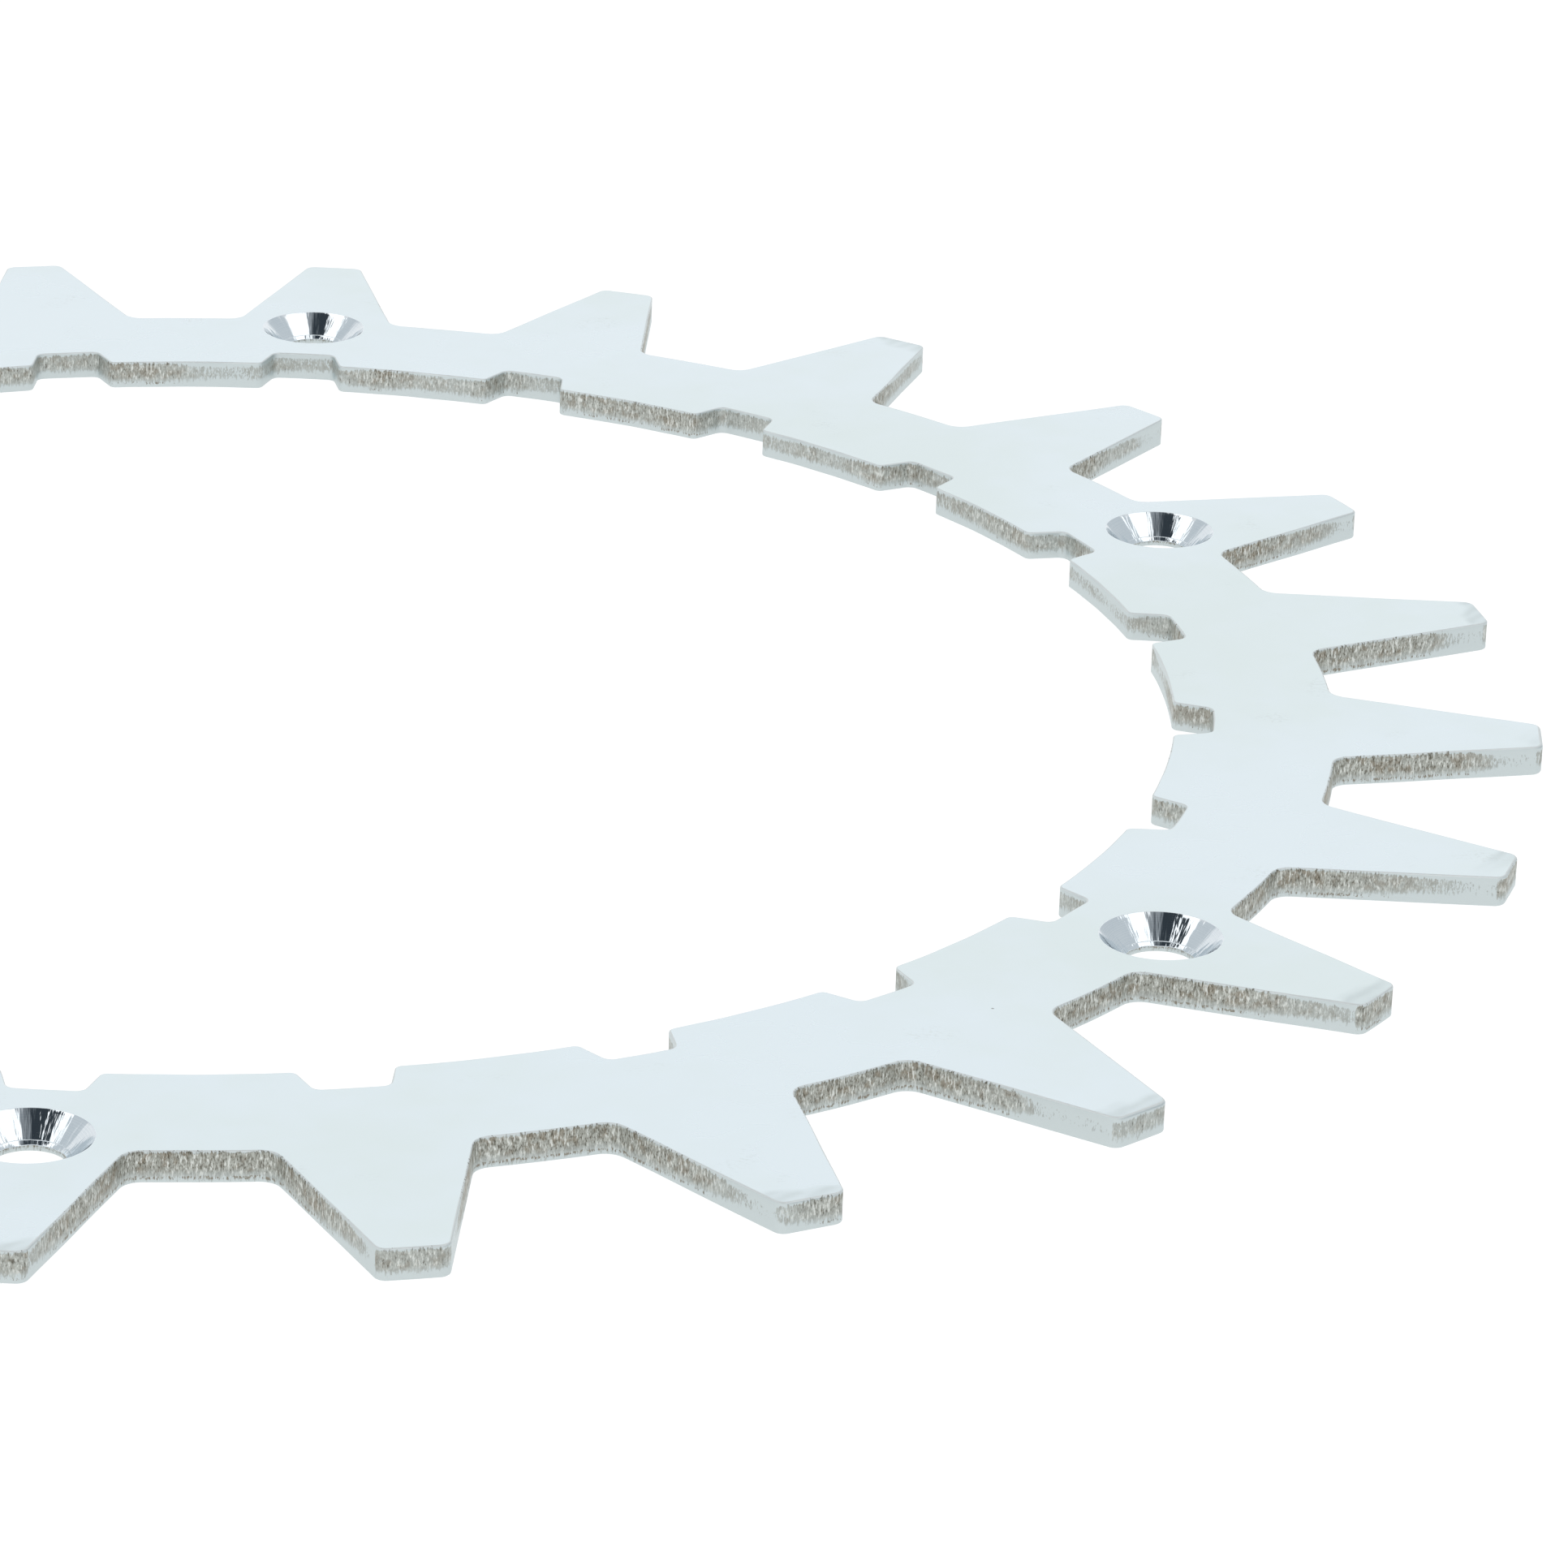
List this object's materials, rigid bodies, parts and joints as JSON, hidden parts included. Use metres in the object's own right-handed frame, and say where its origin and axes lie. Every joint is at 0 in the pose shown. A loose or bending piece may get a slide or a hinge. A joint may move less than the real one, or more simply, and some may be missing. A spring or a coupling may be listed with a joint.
{
  "type": "wheel traction ring",
  "caption": "Flat stainless ring with flat-topped spikes round its outside, shallow notches round its inside and countersunk screw holes, for bolting to the side of a small wheel.",
  "frame": {"origin": "the ring's centre on its plain lower face", "axes": "+Z along the ring's axis, from the plain face to the countersunk face; one screw hole lies on +Y"},
  "size_m": [0.27, 0.27, 0.003],
  "materials": {
    "stainless_sheet": "smooth pale stainless sheet with speckled grey-brown cut edges and bright turned countersinks"
  },
  "bodies": {
    "root": {"spike_ring": "stainless_sheet"}
  },
  "joints": []
}
